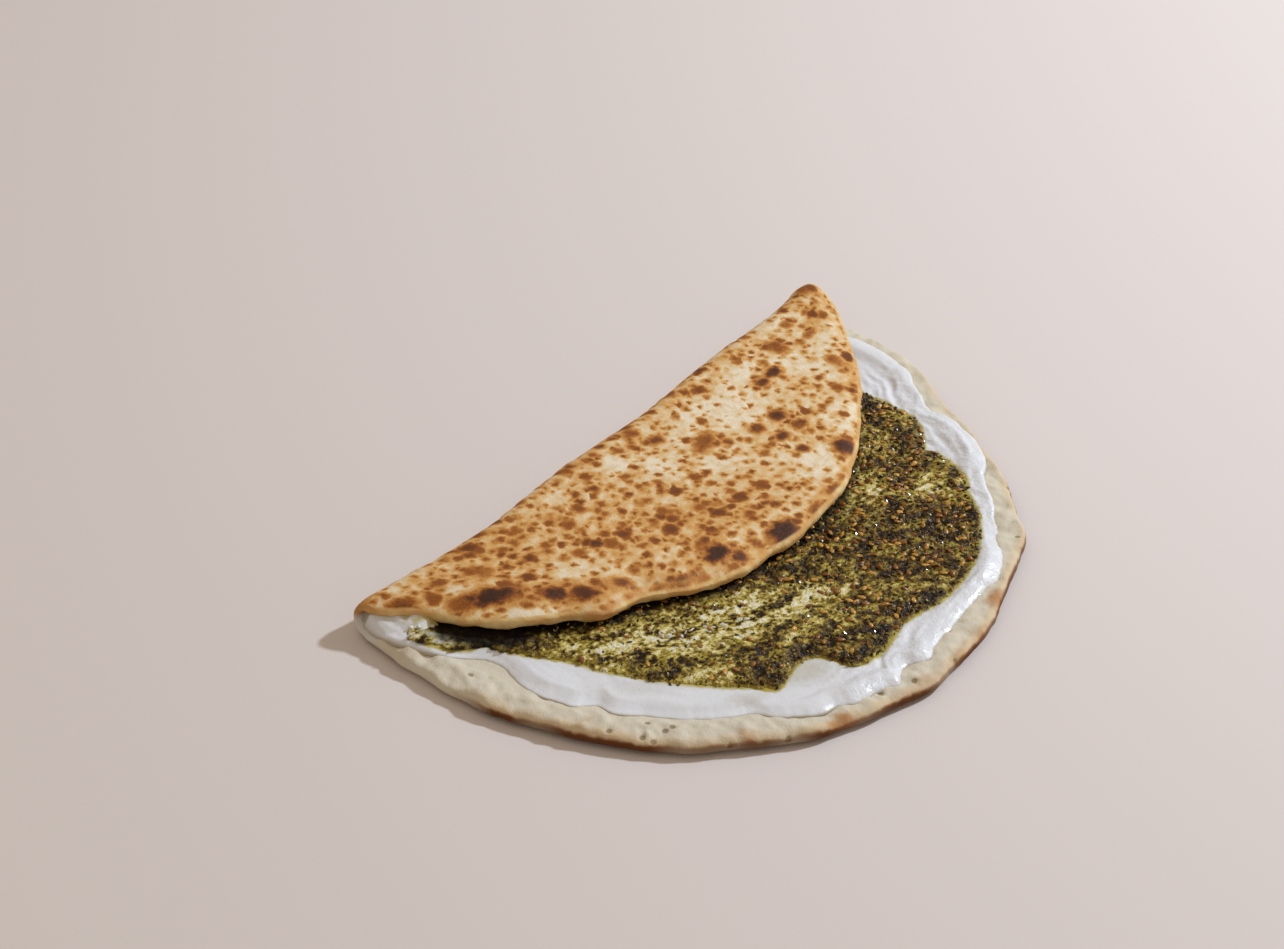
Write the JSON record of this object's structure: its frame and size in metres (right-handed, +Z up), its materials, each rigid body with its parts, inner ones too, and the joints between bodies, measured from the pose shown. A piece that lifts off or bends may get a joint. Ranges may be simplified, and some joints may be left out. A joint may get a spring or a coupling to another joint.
{
  "type": "folded manakish with labneh and za'atar",
  "caption": "Thin round flatbread with a puffed rim, spread with labneh and za'atar and folded over itself, its free edge set back so that the filling shows as a crescent.",
  "frame": {"origin": "middle of the footprint, at the height of the surface that the bread rests on", "axes": "+X along the fold, +Y across it from the open filling towards the fold, +Z up"},
  "size_m": [0.2932, 0.1882, 0.0215],
  "materials": {
    "dough": "baked flatbread, matt, cream with golden brown mottles",
    "cream": "thick strained yoghurt, cool white, moist and softly glossy",
    "herbs": "oily dried thyme paste, dark olive, with golden sesame seeds"
  },
  "bodies": {
    "root": {"bread": "dough", "labneh": "cream", "zaatar": "herbs"}
  },
  "joints": []
}
